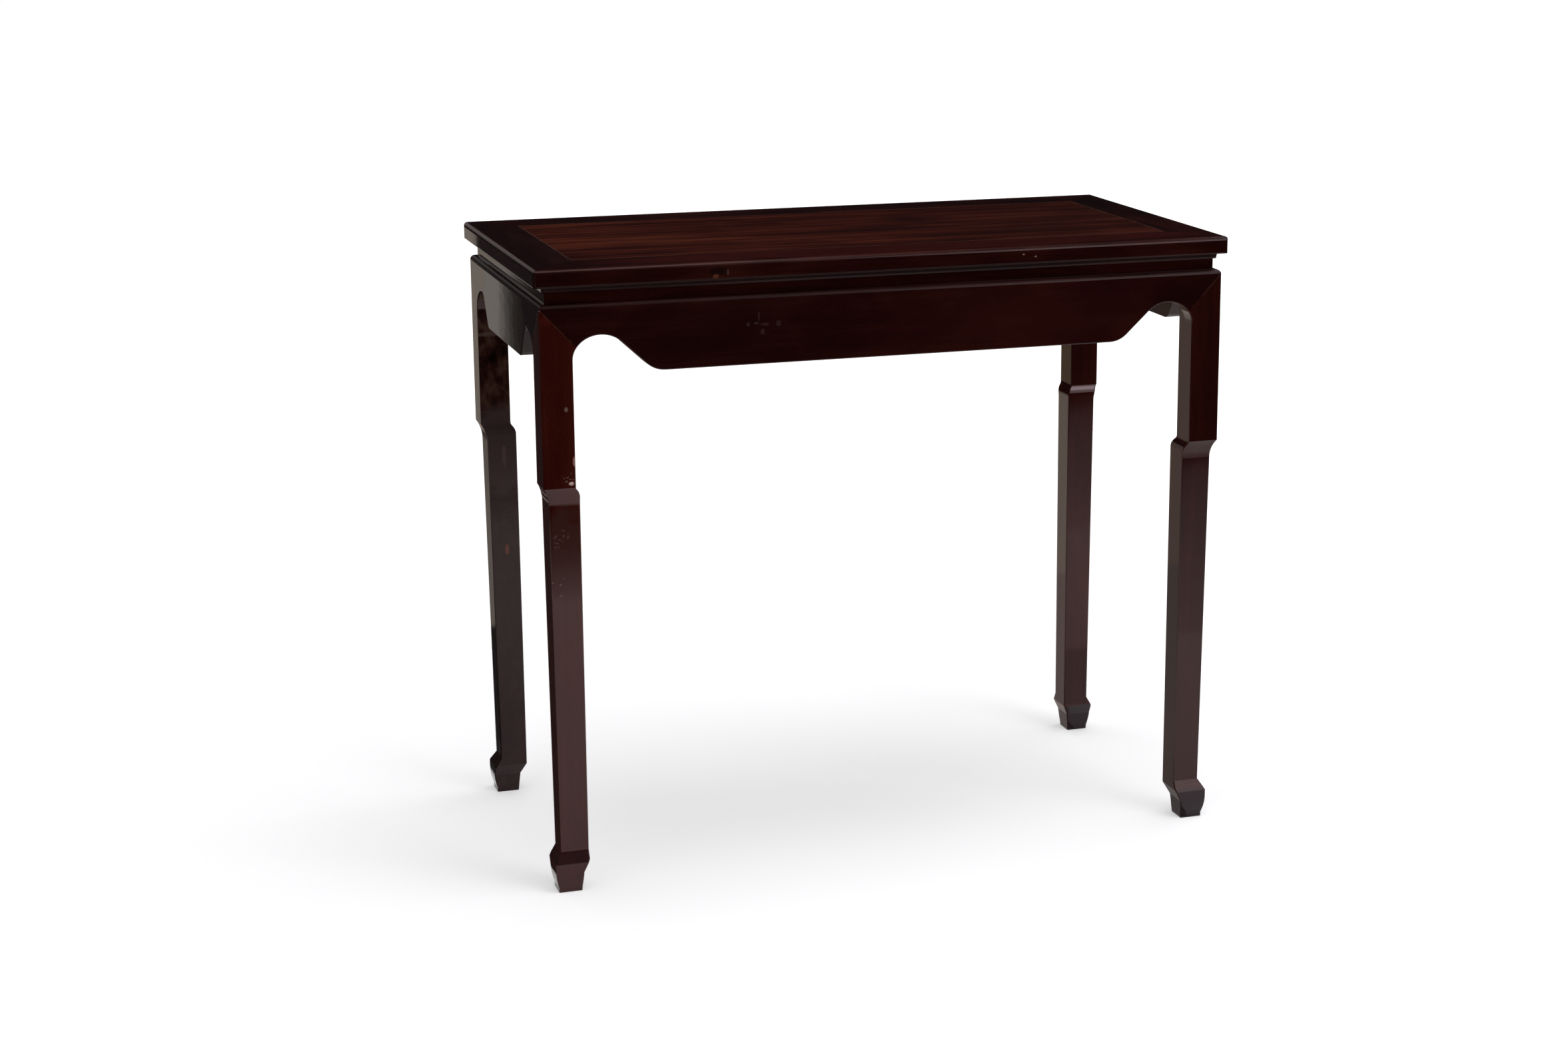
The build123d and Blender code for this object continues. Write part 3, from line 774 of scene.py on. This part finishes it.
@dataclass
class Legs(Piecework):
    """The four one-piece extended legs, each from its own piece of wood, the back left one paler
    with painted reflection.
    """

    front_left: Polish = Polish(dark=(0.0200, 0.0028, 0.0016), middle=(0.0360, 0.0048, 0.0028),
                                light=(0.0600, 0.0110, 0.0060), streak=(0.11, 0.0042, 0.15),
                                wear=0.25, roughness=0.035, edge_roughness=0.03, level=0.42)
    front_right: Polish = Polish(dark=(0.0120, 0.0024, 0.0015), middle=(0.0220, 0.0036, 0.0024),
                                 light=(0.0380, 0.0080, 0.0050), streak=(0.11, 0.0042, 0.15),
                                 wear=0.25, edge_roughness=0.03, level=0.40)
    # Painted reflection: the back left leg's wood is paler and pinker, standing in for the floor
    # that its polish would mirror.
    back_left: Polish = Polish(dark=(0.0060, 0.0020, 0.0015), middle=(0.0280, 0.0085, 0.0058),
                               light=(0.0720, 0.0340, 0.0235), figure=(0.026, 0.024, 0.8),
                               streak=(0.03, 0.0080, 0.3), patch=(0.024, 0.8), wear=0.3,
                               edge_roughness=0.03, level=0.30)
    back_right: Polish = Polish(dark=(0.0180, 0.0034, 0.0024), middle=(0.0330, 0.0054, 0.0038),
                                light=(0.0520, 0.0115, 0.0076), streak=(0.11, 0.0042, 0.15),
                                wear=0.25, edge_roughness=0.03)

    @staticmethod
    def front_left_marks_and_painted_reflection() -> list[Mark]:
        """Return the marks on the front left leg.

        Returns:
            Its chips and specks from the step up and down, the mark and the red spot at its
            head, the dull part below the step and the dull ankle with its painted reflection.
        """
        pale: Triple = (0.30, 0.20, 0.16)
        return [
            Mark((-0.4502, APRON_FRONT, 0.6675), (0.0030, 0.003, 0.0040), pale,
                 strength=0.35, ragged=0.6),
            Mark((-0.4414, APRON_FRONT, 0.5976), (0.0022, 0.003, 0.0080), (0.42, 0.20, 0.17),
                 strength=0.6),
            Mark((-0.4457, APRON_FRONT, 0.5684), (0.0042, 0.003, 0.0030), (0.60, 0.42, 0.38),
                 strength=0.9),
            Mark((-0.4490, APRON_FRONT, 0.5750), (0.0130, 0.003, 0.0110), pale,
                 strength=0.40, ragged=0.9, speckle=0.0030),
            Mark((-0.4815, -0.2380, 0.5508), (0.0040, 0.006, 0.0060), (0.50, 0.48, 0.50),
                 strength=0.7, ragged=0.7),
            Mark((-0.4578, LOWER_LEG_FRONT, 0.4880), (0.0160, 0.003, 0.0180), (0.22, 0.07, 0.045),
                 strength=0.5, ragged=0.8, speckle=0.0036),
            Mark((-0.4638, -0.2325, 0.4243), (0.0130, 0.003, 0.0200), (0.40, 0.27, 0.24),
                 strength=0.6, ragged=0.8, speckle=0.0040),
            Mark((-0.4789, APRON_FRONT, 0.8000), (0.0060, 0.004, 0.0028), (0.42, 0.20, 0.18),
                 strength=0.6),
            Mark((-0.4740, APRON_FRONT, 0.7850), (0.0110, 0.004, 0.0080), (0.055, 0.006, 0.004),
                 strength=0.6, ragged=0.8, roughness=0.12),
            Mark((-0.4578, LOWER_LEG_FRONT, 0.4650), (0.0400, 0.010, 0.0900),
                 (0.040, 0.017, 0.014), strength=0.6, ragged=0.7, roughness=0.09),
            # Painted reflection: the ankle's grey-violet tone stands in for what its ledge mirrors;
            # it is duller too.
            Mark((-0.4500, -0.2350, 0.0470), (0.0600, 0.060, 0.0110), (0.024, 0.015, 0.018),
                 strength=0.5, ragged=0.15, roughness=0.16),
        ]

    @staticmethod
    def right_foot_marks() -> list[Mark]:
        """Return the darkened pads of the right feet."""
        return [Mark((0.4580, y, 0.0180), (0.0800, 0.080, 0.0300), (0.005, 0.006, 0.011),
                     strength=0.85, ragged=0.10, roughness=0.12, core=0.85)
                for y in (-0.2200, 0.2200)]

    @staticmethod
    def back_left_marks_and_painted_light() -> list[Mark]:
        """Return the marks on the back left leg.

        Returns:
            The painted shade over the lower leg, the painted reflection at its step, the pale band
            above it and the scrapes down its front, from the top.
        """
        grey: Triple = (0.110, 0.085, 0.090)
        return [
            # Painted shade: the lower leg is darker, as in the table's shadow.
            Mark((-0.4550, 0.2100, 0.2650), (0.4000, 0.400, 0.3050), (0.014, 0.0060, 0.0068),
                 strength=0.85, ragged=0.04, roughness=0.10, core=0.90),
            # Painted reflection: the paler part at the step stands in for the floor that its polish
            # would mirror.
            Mark((-0.4550, 0.2100, 0.5250), (0.1200, 0.120, 0.0800), (0.060, 0.038, 0.038),
                 strength=0.85, ragged=0.4, roughness=0.08),
            Mark((-0.4550, BACK_LEG_FRONT, 0.6950), (0.0500, 0.020, 0.0048),
                 (0.130, 0.088, 0.070), strength=0.5, ragged=0.5, roughness=0.12),
            Mark((-0.4520, BACK_LEG_FRONT, 0.5150), (0.0035, 0.004, 0.0180), (0.10, 0.05, 0.045),
                 strength=0.4, ragged=0.8),
            Mark((-0.4540, BACK_LEG_FRONT, 0.4250), (0.0040, 0.004, 0.0300), grey,
                 strength=0.5, ragged=0.9, speckle=0.0040),
            Mark((-0.4520, BACK_LEG_FRONT, 0.3750), (0.0040, 0.004, 0.0100), (0.26, 0.11, 0.075),
                 strength=0.6),
            Mark((-0.4400, BACK_LEG_FRONT, 0.3250), (0.0050, 0.004, 0.0240), grey,
                 strength=0.4, ragged=0.9, speckle=0.0040),
        ]

    def build(self) -> None:
        """Finish the four legs."""
        finishes = {
            "leg_front_left": (self.front_left, self.front_left_marks_and_painted_reflection()),
            "leg_front_right": (self.front_right, self.right_foot_marks()),
            "leg_back_left": (self.back_left, self.back_left_marks_and_painted_light()),
            "leg_back_right": (self.back_right, self.right_foot_marks()),
        }
        for node, (finish, marks) in finishes.items():
            wood = finish.material(node + "_wood", Grain.UPRIGHT, Inside.NONE, marks, [Mitre()])
            self.dress((node,), wood)


@dataclass
class CornerPegs:
    """The riven pegs that lock the corners of the frame, in metres.

    Attributes:
        facets: How many faces a peg is riven to.
        taper: Its upper end's share of its lower end's width.
        seed: What the turn of each peg follows.
        widest: More than a peg's width and less than the way to the next.
        finish: Its wood.
    """

    facets: int = 8
    taper: float = 0.90
    seed: int = 7
    widest: float = 0.010
    finish: Polish = Polish(raw=(0.150, 0.085, 0.045), wear=0.1)

    def build(self) -> bpy.types.Object:
        """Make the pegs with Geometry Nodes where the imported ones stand.

        Returns:
            The finished mesh object.
        """
        low, high = (Vector(corner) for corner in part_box("frame_pegs"))
        radius = self._radius()
        feet = [(x, y, low.z) for x in (low.x + radius, high.x - radius)
                for y in (low.y + radius, high.y - radius)]
        mesh = bpy.data.meshes.new("corner_pegs")
        mesh.from_pydata(feet, [], [])
        places = bpy.data.objects.new("corner_pegs", mesh)
        bpy.context.scene.collection.objects.link(places)
        group = self._tree(self.finish.material("peg_wood", Grain.UPRIGHT, Inside.ALL))
        modifier = places.modifiers.new("pegs", "NODES")
        modifier.node_group = group
        sizes = {"Radius": radius, "Height": high.z - low.z, "Taper": self.taper,
                 "Facets": self.facets}
        for item in group.interface.items_tree:
            if item.name in sizes and item.in_out == "INPUT":
                modifier[item.identifier] = sizes[item.name]
        return self._settled(places, modifier)

    def _radius(self) -> float:
        """Measure a packed peg across its own points.

        Returns:
            The peg's radius, in metres.
        """
        points = [vertex.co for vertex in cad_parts["frame_pegs"].data.vertices]
        edge = max(point.x for point in points)
        one = [point.y for point in points if point.x > edge - self.widest and point.y > 0]
        return (max(one) - min(one)) / 2

    def _tree(self, wood: bpy.types.Material) -> bpy.types.NodeTree:
        """Return the node group that stands a peg at each point.

        Args:
            wood: What the pegs are finished in.

        Returns:
            The node group, with the pegs' sizes as its inputs.
        """
        group = bpy.data.node_groups.new("corner_peg_set", "GeometryNodeTree")
        face = group.interface
        face.new_socket("Geometry", in_out="INPUT", socket_type="NodeSocketGeometry")
        for name in ("Radius", "Height", "Taper"):
            face.new_socket(name, in_out="INPUT", socket_type="NodeSocketFloat")
        face.new_socket("Facets", in_out="INPUT", socket_type="NodeSocketInt")
        face.new_socket("Geometry", in_out="OUTPUT", socket_type="NodeSocketGeometry")
        nodes, links = group.nodes, group.links

        def add(kind: str, **given: Any) -> bpy.types.Node:
            """Add a node and link or set its inputs.

            Args:
                kind: The node's type name.
                given: A value or an output socket for each input, with _ for a space.

            Returns:
                The new node.
            """
            node = nodes.new(kind)
            for name, value in given.items():
                socket = node.inputs[name.replace("_", " ")]
                if isinstance(value, bpy.types.NodeSocket):
                    links.new(value, socket)
                else:
                    socket.default_value = value
            return node

        start = nodes.new("NodeGroupInput").outputs
        narrow = nodes.new("ShaderNodeMath")
        narrow.operation = "MULTIPLY"
        links.new(start["Radius"], narrow.inputs[0])
        links.new(start["Taper"], narrow.inputs[1])
        peg = add("GeometryNodeMeshCone", Vertices=start["Facets"],
                  Radius_Top=narrow.outputs[0], Radius_Bottom=start["Radius"],
                  Depth=start["Height"])
        turn = add("FunctionNodeRandomValue", Seed=self.seed)
        turn.data_type = "FLOAT_VECTOR"
        turn.inputs[0].default_value = (0.0, 0.0, 0.0)
        turn.inputs[1].default_value = (0.0, 0.0, math.tau)
        stand = add("GeometryNodeInstanceOnPoints", Points=start["Geometry"],
                    Instance=peg.outputs["Mesh"], Rotation=turn.outputs[0])
        real = add("GeometryNodeRealizeInstances", Geometry=stand.outputs["Instances"])
        dressed = add("GeometryNodeSetMaterial", Geometry=real.outputs["Geometry"],
                      Material=wood)
        end = nodes.new("NodeGroupOutput")
        links.new(dressed.outputs["Geometry"], end.inputs["Geometry"])
        return group

    @staticmethod
    def _settled(places: bpy.types.Object, modifier: bpy.types.Modifier) -> bpy.types.Object:
        """Args:
            places: The object with a point for each peg.
            modifier: The modifier that stands the pegs there.

        Returns:
            The same object.
        """
        graph = bpy.context.evaluated_depsgraph_get()
        mesh = bpy.data.meshes.new_from_object(places.evaluated_get(graph))
        places.modifiers.remove(modifier)
        places.data = mesh
        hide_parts("frame_pegs")
        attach(places, BODY)
        log.info("%s: %d faces", places.name, len(mesh.polygons))
        return places


# ---- The studio ----


@dataclass(frozen=True)
class Card:
    """A flat card seen only in the polish: its four corners and how bright it is."""

    corners: tuple[Triple, Triple, Triple, Triple]
    tone: Triple


def upright(start: Pair, end: Pair, bottom: float, top: float, tone: Triple) -> Card:
    """Return a standing card over the line between two places on the floor."""
    return Card(((*start, bottom), (*end, bottom), (*end, top), (*start, top)), tone)


def level(left: float, right: float, front: float, back: float, height: float,
          tone: Triple) -> Card:
    """Return a card that lies flat at a height."""
    return Card(((left, front, height), (right, front, height), (right, back, height),
                 (left, back, height)), tone)


def tinted(tone: float, tint: Triple) -> Triple:
    """Return a brightness times a tint."""
    return tuple(tone * share for share in tint)


@dataclass(frozen=True)
class Lamp:
    """A square soft box: where it hangs, its side, its power and whether the polish sees it."""

    name: str
    place: Triple
    side: float
    power: float
    colour: Triple
    mirrored: bool


@dataclass(frozen=True)
class Reflections:
    """The cards round the table that only its polish mirrors, in metres.

    Attributes:
        room: Half of the side of the dark room round it all.
        room_top: The room's height.
        side: How far the black walls close by stand to the left and right.
        front_left: Where the front one stands at its left end.
        front_right: Where it stands at its right end.
        front_top: Its height.
        back: Where the back wall stands.
        back_top: Its height.
        low: The height of the back wall's lower part, which isn't all black.
        lean: How far a card that hangs on the back wall stands in front of it.
        dusk_end: Where the back wall's dusky left part stops.
        pale_start: Where its pale middle starts.
        bright_start: Where its bright right part starts.
        bright_top: The height of that part.
        band_top: The height of the dim band over it.
        sill: The height at which the pale cards at the left of the back wall change.
        end_right: The right edge of the strips that only the left apron mirrors.
        end_width: The width of each of those strips.
        end_tones: How bright they are, from the right.
        end_tint: What their brightness is times in red, green and blue.
        end_place: A place along the table under their sloping top.
        end_top: The height of the top there.
        end_slope: How steeply the top rises to the right.
        floor_card: The height of the cards on the floor.
        floor_strip: The height of the strips and cards that lie over those.
        floor_front: The front edge of the cards behind the table.
        floor_right: Their right edge.
        strip_tint: What a floor strip's brightness is times in red, green and blue.
        dark: The dark room.
        black: The black walls.
        dusk: The dusky parts of the back wall.
        pale: The pale cards at its left.
        painted_floor_shadow: The dim cards on the floor under and behind the table, painted shadow
            in the polish.
    """

    room: float = 4.6
    room_top: float = 6.0
    side: float = 2.30
    front_left: float = -1.33
    front_right: float = -2.42
    front_top: float = 1.20
    back: float = 1.10
    back_top: float = 3.60
    low: float = 0.78
    lean: float = 0.02
    dusk_end: float = -0.68
    pale_start: float = -0.50
    bright_start: float = -0.06
    bright_top: float = 0.37
    band_top: float = 0.46
    sill: float = 0.45
    end_right: float = -0.658
    end_width: float = 0.008
    end_tones: tuple[float, ...] = (0.36, 0.36, 0.36, 0.25, 0.15, 0.09, 0.05, 0.035)
    end_tint: Triple = (1.05, 0.97, 0.88)
    end_place: float = -0.645
    end_top: float = 0.687
    end_slope: float = 0.82
    floor_card: float = 0.002
    floor_strip: float = 0.003
    floor_front: float = 0.20
    floor_right: float = 0.455
    strip_tint: Triple = (1.0, 0.96, 0.97)
    dark: Triple = (0.012, 0.012, 0.013)
    black: Triple = (0.006, 0.006, 0.007)
    dusk: Triple = (0.022, 0.019, 0.020)
    pale: Triple = (0.38, 0.33, 0.28)
    painted_floor_shadow: Triple = (0.32, 0.285, 0.27)

    def cards(self) -> list[Card]:
        """Return every card, in the order of their numbers."""
        return [*self._room(), *self._walls(), *self._back_wall(), *self._left_end(),
                *self._overhead(), *self._floor()]

    def _room(self) -> list[Card]:
        """Return the dark room's four walls and its ceiling.

        Returns:
            The front, left, right and back wall, and the ceiling.
        """
        far = self.room
        lines = (((-far, -far), (far, -far)), ((-far, -far), (-far, far)),
                 ((far, -far), (far, far)), ((-far, far), (far, far)))
        return [*(upright(*line, 0, self.room_top, self.dark) for line in lines),
                level(-far, far, -far, far, self.room_top, (0.16, 0.15, 0.16))]

    def _walls(self) -> list[Card]:
        """Return the black walls close by.

        Returns:
            The front, left and right one, and the upper part of the back one.
        """
        left, right = (-self.side, self.front_left), (self.side, self.front_right)
        left_back, right_back = (-self.side, self.back), (self.side, self.back)
        lines = ((left, right), (left, left_back), (right, right_back))
        return [*(upright(*line, 0, self.front_top, self.black) for line in lines),
                upright(left_back, right_back, self.low, self.back_top, self.black)]

    def _at_back(self, left: float, right: float, bottom: float, top: float, tone: Triple,
                 lean: float = 0.0) -> Card:
        """Return a card that stands along the back wall, or leans in front of it."""
        place = self.back - lean
        return upright((left, place), (right, place), bottom, top, tone)

    def _back_wall(self) -> list[Card]:
        """Return the lower part of the back wall.

        Returns:
            Its dusky left end, the pale middle, three bands at the right and the dusky gap.
        """
        low, pale, bright = self.low, self.pale_start, self.bright_start
        return [
            self._at_back(-self.side, self.dusk_end, 0, low, self.dusk),
            self._at_back(pale, bright, 0, low, (0.42, 0.335, 0.29)),
            self._at_back(bright, self.side, 0, self.bright_top, (0.66, 0.58, 0.50)),
            self._at_back(bright, self.side, self.bright_top, self.band_top, (0.30, 0.24, 0.16)),
            self._at_back(bright, self.side, self.band_top, low, self.black),
            self._at_back(self.dusk_end, pale, 0, low, self.dusk),
        ]

    def _left_end(self) -> list[Card]:
        """Return the pale cards that the left faces mirror.

        Returns:
            The card over the sill, the strips that fade, the card under it and the high one.
        """
        right, low, sill, lean = self.pale_start, self.low, self.sill, self.lean
        return [
            self._at_back(self.end_right, right, sill, low, self.pale, lean),
            *self._fading_end(),
            self._at_back(-0.652, -0.61, 0, sill, self.pale, lean),
            self._at_back(-0.78, right, low + 0.12, 1.25, (0.30, 0.27, 0.26), lean),
        ]

    def _fading_end(self) -> list[Card]:
        """Return upright strips that darken to the left, which only the left apron mirrors.

        Returns:
            The strips, from the right, with tops that slope down to the left.
        """
        strips = []
        for number, tone in enumerate(self.end_tones):
            right = self.end_right - self.end_width * number
            middle = right - self.end_width / 2
            top = self.end_top + self.end_slope * (middle - self.end_place)
            strips.append(self._at_back(right - self.end_width, right, self.sill, top,
                                        tinted(tone, self.end_tint), self.lean))
        return strips

    @staticmethod
    def _overhead() -> list[Card]:
        """Return the strip over the table and the small bright card beside it."""
        return [level(-0.20, 0.40, -1.20, -0.45, 2.6, (2.0, 1.8, 1.8)),
                level(0.70, 0.88, -0.45, 0.03, 1.2, (6.0, 6.0, 6.6))]

    def _floor(self) -> list[Card]:
        """Return the cards on the floor.

        Returns:
            The dark one at the left, two dim ones of painted shadow and a paler one behind, the
            strips in front and the cool one at the right, painted shadow by the right legs.
        """
        front, back, right = self.floor_front, self.back, self.floor_right
        low, high = self.floor_card, self.floor_strip
        return [
            level(-self.side, -0.49, -0.20, back, low, (0.02, 0.018, 0.018)),
            # Painted shadow: dim cards over the floor under and behind the table, which only the
            # polish mirrors.
            level(0.20, right, -0.27, front, low, self.painted_floor_shadow),
            level(-0.42, right, front, back, low, self.painted_floor_shadow),
            Card(((0.34, front, high), (right, front, high), (right, back, high),
                  (-0.05, back, high)), (0.52, 0.44, 0.41)),
            *self._fading(-0.60, 0.30, -1.90, -1.60, dim=0.25, bright=0.80, steps=5),
            *self._fading(0.30, self.side, -2.40, -1.05, dim=0.38, bright=1.00, steps=9),
            # Painted shadow: the cool card by the right legs, which only the polish mirrors.
            level(right, 0.66, -0.24, 0.06, low, (0.66, 0.78, 0.82)),
        ]

    def _fading(self, left: float, right: float, front: float, back: float, dim: float,
                bright: float, steps: int) -> list[Card]:
        """Return strips on the floor that grow brighter towards the table.

        Args:
            left: Where the strips start along the table.
            right: Where they end.
            front: The edge furthest from the table.
            back: The edge nearest to the table.
            dim: How bright the furthest strip is.
            bright: How bright the nearest strip is.
            steps: How many strips there are.

        Returns:
            The strips, furthest first.
        """
        strips = []
        depth = (back - front) / steps
        for number in range(steps):
            tone = dim + (bright - dim) * number / (steps - 1)
            start = front + number * depth
            strips.append(level(left, right, start, start + depth, self.floor_strip,
                                tinted(tone, self.strip_tint)))
        return strips


@dataclass
class Studio:
    """A pale floor, soft boxes, cards that only the polish mirrors, and the camera.

    Attributes:
        floor_half: Half of the floor's side, in metres.
        floor_tone: How pale the floor is to the light.
        floor_glow: What it adds to its own picture near the table.
        glow_start: How far from the middle that starts to grow.
        glow_end: How far from the middle it is white.
        room_light: The strength of the light from all round.
        room_colour: Its colour.
        aim: Where the soft boxes point.
        overhead: The soft box over the table.
        key: The soft box in front, at the right.
        sensor: The width of the camera's sensor, in millimetres.
        lens: Its focal length, in millimetres.
        sight: How far it sees, in metres.
        eye: Where it stands.
        yaw: How far it is turned to the right, in degrees.
        pitch: How far it is tilted up, in degrees.
        shift: The lens's shift, as a share of the picture's width.
    """

    floor_half: float = 9.0
    floor_tone: float = 0.90
    floor_glow: float = 0.43
    glow_start: float = 0.9
    glow_end: float = 3.2
    room_light: float = 0.31
    room_colour: Triple = (0.97, 0.98, 1.0)
    aim: Triple = (0.0, 0.0, 0.60)
    overhead: Lamp = Lamp("overhead_box", (0.25, -0.10, 2.75), 2.4, 48.0, (1.0, 0.97, 1.0), False)
    key: Lamp = Lamp("key_box", (1.76, -2.49, 2.30), 1.7, 20.0, (1.0, 0.97, 1.0), True)
    sensor: float = 36.0
    lens: float = 64.41
    sight: float = 60.0
    eye: Triple = (-1.1987, -3.7638, 1.3989)
    yaw: float = 18.86
    pitch: float = -12.93
    shift: Pair = (-0.0722, -0.0288)

    def build(self) -> None:
        """Make the floor, the cards, the lights and the camera."""
        self._floor()
        for number, card in enumerate(Reflections().cards()):
            self._card(f"card_{number}", card)
        self._world()
        for lamp in (self.overhead, self.key):
            self._lamp(lamp)
        self._camera()
        bpy.context.scene.view_settings.view_transform = "Standard"
        log.info("studio: floor, cards, room light, soft boxes and camera")

    @staticmethod
    def _seen(shader: Shader) -> Value:
        """Return 1 for camera, glossy and transmission rays, 0 for the rays that light.

        Args:
            shader: The shader of the floor or the world.

        Returns:
            The mask.
        """
        path = shader.node("ShaderNodeLightPath").outputs
        camera, glossy, passing = (Value(shader, path[f"Is {ray} Ray"])
                                   for ray in ("Camera", "Glossy", "Transmission"))
        return camera.maximum(glossy).maximum(passing)

    @staticmethod
    def _sheet(name: str, points: Iterable[Triple],
               material: bpy.types.Material) -> bpy.types.Object:
        """Return a flat four-cornered stage object.

        Args:
            name: The object's name.
            points: Its four corners.
            material: Its material.

        Returns:
            The object.
        """
        mesh = bpy.data.meshes.new(name)
        mesh.from_pydata(list(points), [], [(0, 1, 2, 3)])
        mesh.materials.append(material)
        sheet = bpy.data.objects.new(name, mesh)
        bpy.context.scene.collection.objects.link(sheet)
        return sheet

    def _floor(self) -> None:
        """Lay the white floor, which keeps the table's shadow."""
        material, shader = shaded("studio_floor")
        matt = shader.node("ShaderNodeBsdfDiffuse", None,
                           {"Color": opaque((self.floor_tone,) * 3)})
        point = shader.node("ShaderNodeTexCoord").outputs["Object"]
        far = shader.measure("LENGTH", point).step(self.glow_start, self.glow_end)
        colour = shader.mix(far, opaque((self.floor_glow,) * 3), WHITE)
        glow = shader.node("ShaderNodeEmission", None,
                           {"Color": colour, "Strength": self._seen(shader)})
        both = shader.node("ShaderNodeAddShader", None, {0: matt.outputs[0], 1: glow.outputs[0]})
        shader.node("ShaderNodeOutputMaterial", None, {"Surface": both.outputs[0]})
        x = self.floor_half
        self._sheet("studio_floor", ((-x, -x, 0), (x, -x, 0), (x, x, 0), (-x, x, 0)), material)

    def _card(self, name: str, card: Card) -> None:
        """Stand one card where only the polish sees it.

        Args:
            name: The card's name.
            card: Its corners and its tone.
        """
        material, shader = shaded(name)
        glow = shader.node("ShaderNodeEmission", None, {"Color": opaque(card.tone)})
        shader.node("ShaderNodeOutputMaterial", None, {"Surface": glow.outputs[0]})
        sheet = self._sheet(name, card.corners, material)
        sheet.visible_camera = False
        sheet.visible_diffuse = False
        sheet.visible_transmission = False
        sheet.visible_shadow = False

    def _world(self) -> None:
        """Light the room evenly, with a white background."""
        world = bpy.data.worlds.new("studio")
        world.use_nodes = True
        shader = Shader(world.node_tree)
        room = shader.node("ShaderNodeBackground", None,
                           {"Color": opaque(self.room_colour), "Strength": self.room_light})
        white = shader.node("ShaderNodeBackground", None, {"Color": WHITE, "Strength": 1.0})
        mixed = shader.node("ShaderNodeMixShader", None,
                            {0: self._seen(shader), 1: room.outputs[0], 2: white.outputs[0]})
        shader.node("ShaderNodeOutputWorld", None, {"Surface": mixed.outputs[0]})
        bpy.context.scene.world = world

    def _lamp(self, soft_box: Lamp) -> None:
        """Hang one soft box and turn it to the table.

        Args:
            soft_box: The soft box.
        """
        lamp = bpy.data.lights.new(soft_box.name, "AREA")
        lamp.shape = "SQUARE"
        lamp.size = soft_box.side
        lamp.energy = soft_box.power
        lamp.color = soft_box.colour
        holder = bpy.data.objects.new(soft_box.name, lamp)
        holder.location = soft_box.place
        towards = Vector(self.aim) - Vector(soft_box.place)
        holder.rotation_euler = towards.to_track_quat("-Z", "Y").to_euler()
        holder.visible_camera = False
        holder.visible_glossy = soft_box.mirrored
        bpy.context.scene.collection.objects.link(holder)

    def _camera(self) -> None:
        """Set up the camera at the viewing angle."""
        camera = bpy.data.cameras.new("camera")
        camera.sensor_width = self.sensor
        camera.sensor_fit = "HORIZONTAL"
        camera.lens = self.lens
        camera.shift_x, camera.shift_y = self.shift
        camera.clip_end = self.sight
        holder = bpy.data.objects.new("camera", camera)
        holder.location = self.eye
        holder.rotation_euler = (math.radians(90 + self.pitch), 0.0, math.radians(-self.yaw))
        bpy.context.scene.collection.objects.link(holder)
        bpy.context.scene.camera = holder


def corners(box: Any) -> list[list[float]]:
    """Return a box's two corners as plain lists."""
    return [[float(number) for number in corner] for corner in box]


def main() -> None:
    """Build every sub-assembly in order."""
    logging.basicConfig(level=logging.INFO, format="%(message)s")
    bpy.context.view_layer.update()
    top = TopFrame()
    top.build()
    Panel().build(top.joint())
    Waist().build()
    Aprons().build()
    Legs().build()
    CornerPegs().build()
    Studio().build()


if __name__ == "__main__":
    main()
